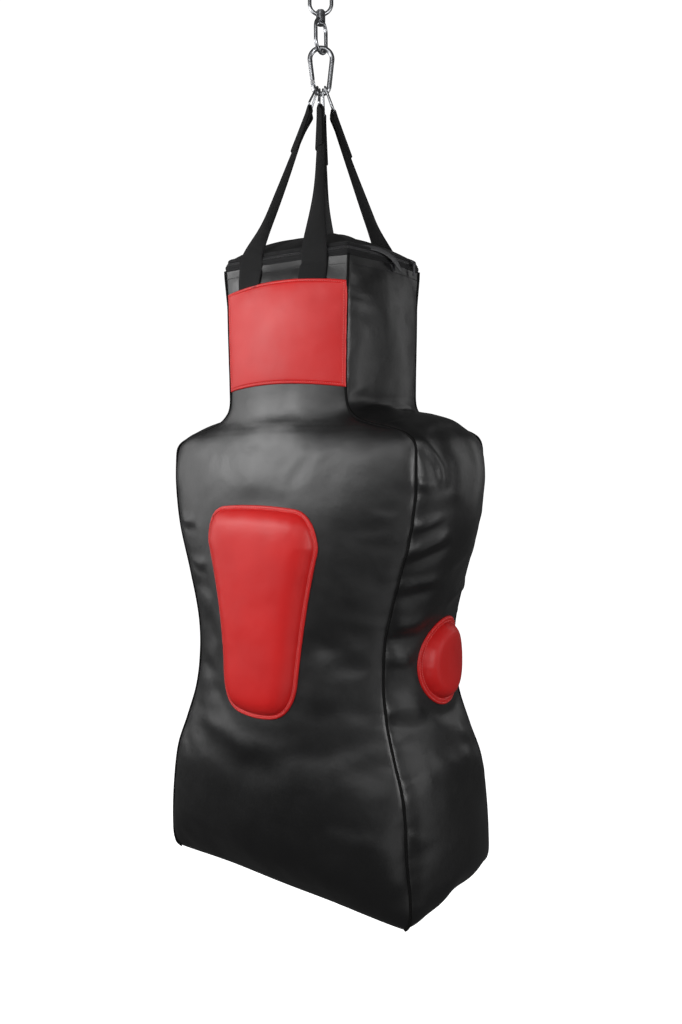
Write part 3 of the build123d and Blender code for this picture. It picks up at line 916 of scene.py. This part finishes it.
def coil_ring(name, grow, h, body, node_name):
    """Row of zip teeth set side by side around the rim."""
    line = resample(rim_loop(grow, RIM + h, 0, 400), 2.3, closed=True)
    points, faces = [], []
    for p, before, after in zip(line, np.roll(line, 1, 0), np.roll(line, -1, 0)):
        d = unit(after - before)
        out = np.cross(d, [0, 0, 1.0])
        faces += run_faces(4, 6, len(points))
        for e, w in ((-0.5, 0.30), (-0.42, 0.5), (0.42, 0.5), (0.5, 0.30)):
            c = p + np.array([0, 0, 1.0]) * (2.5 * e)
            for a in range(6):
                t = TAU * a / 6
                points.append(
                    c + d * (0.78 * w * 2 * math.cos(t)) + out * (1.15 * w * 2 * math.sin(t)))
    obj = new_mesh(name, points, faces, body, COIL)
    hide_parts(node_name)


coil_ring("rim_coil_teeth", -0.9, 16.9, "bag", "rim_zip_coil")
coil_ring("lid_coil_teeth", -1.9, 19.4, "lid", "lid_zip_coil")

# lid: a soft pillow-shaped top with a tape hem
NL = 300
LID_EDGE, LID_RISE, LID_TOP = 28.4, 41.0, 69.6
rows = [rim_loop(g, RIM + h, 0.2, NL) for g, h in (
    (-8.0, 19.8), (-4.2, 20.2), (-2.9, 21.0), (-2.6, 22.7), (-3.3, 25.0), (-5.0, 26.8),
    (-8.0, LID_EDGE),
)]
edge = rows[-1]
s = np.linspace(0, TAU, NL, endpoint=False)
ripple = 0.9 * np.sin(7 * s + 0.6) + 0.7 * np.sin(12 * s + 2.0) + 0.5 * np.sin(19 * s)
for k in range(1, 27):
    t = k / 27
    loop = edge.copy()
    loop[:, :2] *= 1 - t
    w = math.sin(math.pi * min(1, t * 1.3)) if t < 0.77 else 0
    loop[:, 2] = BASE + RIM + LID_EDGE + LID_RISE * (1 - (1 - t) ** 2.1) + w * ripple
    rows.append(loop)
points = np.vstack([*rows, [[0, 0, BASE + RIM + LID_TOP]]])
faces = grid_faces(len(rows), NL, wrap=True)
faces += fan((len(rows) - 1) * NL, NL, len(rows) * NL)
lid = new_mesh("lid_cover", points, faces, "lid", BLACK)
subdivide(lid)
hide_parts("lid_panel")
band("lid_hem_tape", "lid", 0.2, [
    (-5.0, 20.8), (-2.4, 20.7), (-1.7, 21.3), (-1.8, 24.0), (-2.6, 26.2), (-4.4, 27.8),
    (-6.2, 28.6), (-8.6, 29.2),
])

# the zip's loose end curls out over the right-hand edge
path = np.array([
    (122, -92, 25), (130, -62, 27.5), (139, -36, 27.5), (146.5, -14, 23), (150.5, 4, 15),
    (152, 17, 5), (151.5, 27, -4),
], float)
path[:, 2] += BASE + RIM
path = resample(eased(resample(path, 9.0)), 0.55)
rows = []
for i, (p, tangent) in enumerate(zip(path, tangents(path))):
    k = i / (len(path) - 1)
    face = np.array([0.55 + 0.4 * k, -0.1, 0.85 - 0.8 * k])
    face = unit(face - tangent * face.dot(tangent))
    wide = np.cross(tangent, face) * (5.6 * min(1.0, 0.35 + 3.5 * k, 0.45 + 5.0 * (1 - k)))
    ring = []
    for e in np.linspace(-1, 1, 9):
        rib = 0.42 * max(0.0, math.sin(TAU * (i * 0.55 + e * 1.6) / 2.3)) * (1 - abs(e) ** 4)
        ring.append(p + wide * e + face * (0.8 + rib - 0.9 * e * e))
    for e in np.linspace(1, -1, 5):
        ring.append(p + wide * e - face * (0.5 + 0.9 * e * e))
    rows.append(ring)
obj = swept("loose_zip_end", rows, "bag", STRIP)

# top-stitching under the rim
loop = rim_loop(1.1, RIM - 9.0, 0.25, 400)
out = np.cross(np.roll(loop, -1, 0) - np.roll(loop, 1, 0), [0, 0, 1.0])
out /= np.linalg.norm(out, axis=1)[:, None]
on_skin = []
for p in loop:
    hits = [tree.find_nearest(Vector(p)) for tree in TREES.values()]
    on_skin.append(min(hits, key=lambda hit: hit[3])[0])
obj = stitches("rim_stitching", np.array(on_skin) + out * 0.35, out, THREAD)

# ---- straps ---------------------------------------------------------------
RING_LONG = 47.0
SEAT = 6.7
FOOT_X, FOOT_Y, FOOT_Z = 70.0, 119.4, BASE + RIM + 22.0
BEND_R, BEND_Z = 14.5, -180.5
FREE = 46
GATHERED, FLAT, FOLDED = 28, 55, 8.5
# name, side to side, front or back, angle in the hook's bend, where the webbing starts to open
RINGS = (("front_left", -1, -1, -43.0, 0.70), ("front_right", 1, -1, -13.0, 0.42),
         ("back_left", -1, 1, 13.0, 0.42), ("back_right", 1, 1, 43.0, 0.70))


def tab_lift(h):
    """Height of the webbing's middle over the cover: it sinks in under the patch."""
    return 0.2 + 1.5 * min(1.0, max(0.0, (h - 1018) / 16))


def webbing_at(k, bar, first):
    """Direction across the webbing, its width and its fold, from the ring (0) to the rim (1)."""
    turn = min(1.0, k * 1.12)
    opened = min(1.0, max(0.0, (k - first) / (1.02 - first))) ** 1.4
    width = GATHERED + (FLAT - GATHERED) * opened
    return unit(bar * (1 - turn) + EAST * turn), width, FOLDED * (1 - opened) ** 1.3


def both_faces(centre, offsets, n, half):
    """Closed loop around a strap: its outer face and back along its inner face."""
    return [centre + q + n * half * e for q, e in offsets] + [
        centre + q - n * half * e for q, e in reversed(offsets)]


for name, sx, sy, angle, first in RINGS:
    phi = math.radians(angle)
    seat = ALONG * (BEND_R * math.sin(phi)) + np.array([0, 0, BEND_Z - BEND_R * math.cos(phi)])
    pull = unit(np.array([sx * FOOT_X, sy * FOOT_Y, FOOT_Z]) - seat)
    bar = unit(np.cross(pull, unit(ALONG - pull * ALONG.dot(pull))))
    if bar[0] < 0:
        bar = -bar
    start = seat - pull * (SEAT + abs(angle) * 0.055) + pull * RING_LONG
    length = np.linalg.norm(np.array([sx * FOOT_X, sy * FOOT_Y, FOOT_Z]) - start)
    side = "front" if sy < 0 else "back"
    out = OUTWARD[side]
    # middle line from the ring down to the patch, with its direction across, width and fold
    stations = []
    for t in np.linspace(6.0, length - 3, FREE):
        wide, width, deep = webbing_at(t / length, bar, first)
        stations.append((start + pull * t, unit(wide - pull * wide.dot(pull)), width, deep))
    for h in np.linspace(RIM + 17, 1006, 20):
        if h > RIM - 6:
            p = np.array([sx * FOOT_X, sy * (FOOT_Y - 0.4), BASE + h])
        else:
            p = skin(side, sx * FOOT_X, h) + out * tab_lift(h)
        stations.append((p, EAST, FLAT, 0.0))
    centres = eased(np.array([s[0] for s in stations]))
    tangent = tangents(centres)
    rows = []
    wobble = rng.uniform(0, 6.28)
    for i, (_, wide, width, deep) in enumerate(stations):
        w = unit(wide - tangent[i] * wide.dot(tangent[i]))
        n = unit(np.cross(w, tangent[i]))
        if n.dot(out) < 0:
            n = -n
        h = centres[i][2] - BASE
        offsets = []
        for u in np.linspace(-1, 1, 17):
            cup = -deep * (u * u)
            cup += 0.5 * math.sin(3.0 * u + 0.16 * i + wobble) * (1 - i / len(stations))
            if i > FREE and h < RIM - 4:
                q = skin(side, centres[i][0] + u * width / 2, h)
                cup += (q - centres[i]).dot(n) + tab_lift(h)
            offsets.append((w * (u * width / 2) + n * cup, 1 - 0.55 * abs(u) ** 12))
        rows.append(both_faces(centres[i], offsets, n, 1.25))
    strap = swept(name + "_webbing", rows, "bag", WEBBING)
    subdivide(strap)
    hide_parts(name + "_strap")
    # loop over the ring's bar and the doubled tail, sewn down
    normal = unit(np.cross(bar, pull))
    if normal.dot(out) < 0:
        normal = -normal
    path = [(start + pull * t + normal * 3.0, t) for t in np.linspace(88, 10, 22)]
    path += [(start + normal * (3.5 * math.cos(a)) - pull * (3.5 * math.sin(a)), 0.0)
             for a in np.linspace(0.15, math.pi - 0.15, 12)]
    path += [(start + pull * t - normal * (3.3 * max(0.0, 1 - t / 34) + 0.2), t)
             for t in np.linspace(6, 40, 8)]
    rows = []
    for (p, t), tangent in zip(path, tangents([p for p, _ in path])):
        wide, width, deep = webbing_at(t / length, bar, first)
        w = unit(wide - tangent * wide.dot(tangent))
        n = unit(np.cross(w, tangent))
        width, deep = width * 0.985, deep * (1 if t > 4 else 0.3)
        offsets = [(w * (u * width / 2) - normal * (deep * u * u), 1 - 0.5 * abs(u) ** 10)
                   for u in np.linspace(-1, 1, 11)]
        rows.append(both_faces(p, offsets, n, 1.15))
    tail = swept(name + "_webbing_loop", rows, "bag", WEBBING)
    subdivide(tail)

# ---- what the cover holds: foam and fill, set in from the cover -----------
middle_line = cover[:, SEAMS].mean(axis=1, keepdims=True)


def shrunk(deep):
    """Cover rows drawn in level by level towards the middle of the bag."""
    arm = cover - middle_line
    arm[..., 2] = 0
    long = np.linalg.norm(arm, axis=2, keepdims=True)
    return cover - arm / long * np.minimum(deep, 0.6 * long)


def core(name, low, high, deep, node_name, mat, thick=0.0):
    """Solid piece, or hollow one of some thickness, that follows the inside of the cover."""
    rows = [i for i in range(0, NR, 2) if low <= cover[i, 0, 2] - BASE <= high]
    n = RING // 2
    points = shrunk(deep)[rows][:, ::2].reshape(-1, 3)
    start = len(points)
    faces = grid_faces(len(rows), n, wrap=True)
    if thick:
        points = np.vstack([points, shrunk(deep + thick)[rows][:, ::2].reshape(-1, 3)])
        faces += flipped(grid_faces(len(rows), n, wrap=True, start=start))
    for end in (0, start - n):
        if thick:
            loop = [(end + j, end + (j + 1) % n) for j in range(n)]
            lids = [(a, b, start + b, start + a) for a, b in loop]
        else:
            lids = fan(end, n, len(points))
            points = np.vstack([points, points[end:end + n].mean(axis=0)])
        faces += lids if end else flipped(lids)
    obj = new_mesh(name, points, faces, "bag", mat)
    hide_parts(node_name)


core("foam_layer", 14, 1052, 11, "foam_liner", FOAM, 8)
core("packed_fill_low", 26, 636, 23, "textile_fill_lower", FILL)
core("packed_fill_high", 642, 1050, 23, "textile_fill_upper", FILL)

# ---- hardware and hidden pieces keep their CAD shape ---------------------
FINISH = {
    "swivel_upper_eye": SWIVEL, "swivel_lower_eye": SWIVEL, "swivel_pin": SWIVEL,
    "hook_frame": HOOK, "hook_gate": HOOK, "gate_rivet": DULL, "gate_spring": DULL,
    "front_left_ring": ZINC, "front_right_ring": ZINC, "back_left_ring": ZINC,
    "back_right_ring": ZINC, "front_zip_slider": SLIDER, "rear_zip_slider": SLIDER,
    "front_zip_pull": SLIDER, "rear_zip_pull": SLIDER, "lid_padding": FILL,
}
for name, mat in FINISH.items():
    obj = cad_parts[name]
    obj.data.materials.clear()
    obj.data.materials.append(mat)

# ---- studio ---------------------------------------------------------------


def glowing(obj, rough, tone, glow):
    """Plain bright surface that neither lights nor shades the object."""
    mat, _, shader = material(obj.name + "_mat", (0.9, 0.9, 0.9), rough)
    set_inputs(shader, {"Emission Color": (tone, tone, tone, 1), "Emission Strength": glow})
    obj.data.materials.append(mat)
    obj.visible_diffuse = False
    obj.visible_glossy = False
    obj.visible_transmission = False
    obj.visible_shadow = False


FLOOR_Z = -2.35
mesh = bpy.data.meshes.new("floor")
mesh.from_pydata([(-20, -20, 0), (20, -20, 0), (20, 20, 0), (-20, 20, 0)], [], [(0, 1, 2, 3)])
floor = in_scene("floor", mesh)
floor.matrix_world = Matrix.Translation((0, 0, FLOOR_Z))
glowing(floor, 0.9, 0.9, 1.15)
bpy.ops.mesh.primitive_uv_sphere_add(segments=32, ring_count=16, radius=26)
backdrop = bpy.context.object
backdrop.name = "backdrop"
glowing(backdrop, 1.0, 1.0, 1.0)

EYE_LEVEL = -0.83
CAMERA_RIGHT, CAMERA_BACK = 0.030975, 1.708
middle = Vector((0, 0, -0.95))
# name, place seen from the camera (right, towards it, up from eye level), width, height, power
for name, (sideways, near, above), wide, tall, power in (
    ("front", (1.2, 2.7, 0.3), 1.2, 1.0, 34), ("front_high", (-0.9, 2.8, 1.3), 1.4, 1.2, 16),
    ("front_left", (-1.2, 2.7, 0.3), 1.2, 1.0, 5), ("front_low", (0.0, 2.7, -1.3), 1.4, 1.0, 4),
    ("key", (-2.2, 0.5, 0.6), 1.2, 0.9, 27), ("key_near", (-1.9, 1.5, 0.7), 1.2, 0.95, 13),
    ("left", (-2.2, 0.5, -0.2), 1.2, 0.95, 4), ("left_back", (-2.2, -0.7, 0.3), 1.2, 1.9, 13),
    ("right", (2.2, 0.7, 0.1), 0.9, 0.95, 6),
    ("right_back", (2.1, -1.2, 0.4), 0.7, 1.6, 3.5), ("right_low", (2.2, 0.7, -1.0), 0.9, 0.95, 2),
):
    p = ALONG * sideways - AWAY * near
    data = bpy.data.lights.new(name, "AREA")
    data.shape = "RECTANGLE"
    data.size = wide
    data.size_y = tall
    data.energy = power
    light = in_scene(name, data)
    light.location = (p[0], p[1], EYE_LEVEL + above)
    light.rotation_mode = "QUATERNION"
    light.rotation_quaternion = (middle - light.location).to_track_quat("-Z", "Y")

world = bpy.data.worlds.new("studio")
bpy.context.scene.world = world
world.use_nodes = True
set_inputs(world.node_tree.nodes["Background"], {"Color": (1, 1, 1, 1), "Strength": 0.07})
bpy.context.scene.view_settings.view_transform = "Standard"

camera = in_scene("camera", bpy.data.cameras.new("camera"))
bpy.context.scene.camera = camera
# solved from the corners, straps and hook in the photograph
camera.data.lens = 32.77
camera.data.shift_y = -0.070
camera.data.clip_end = 60
right = Vector((*ALONG[:2], -0.008)).normalized()
forward = Vector(AWAY)
turn = Matrix((right, right.cross(forward), -forward)).transposed()
place = Vector(ALONG * CAMERA_RIGHT - AWAY * CAMERA_BACK)
place.z = EYE_LEVEL
camera.matrix_world = Matrix.Translation(place) @ turn.to_4x4()
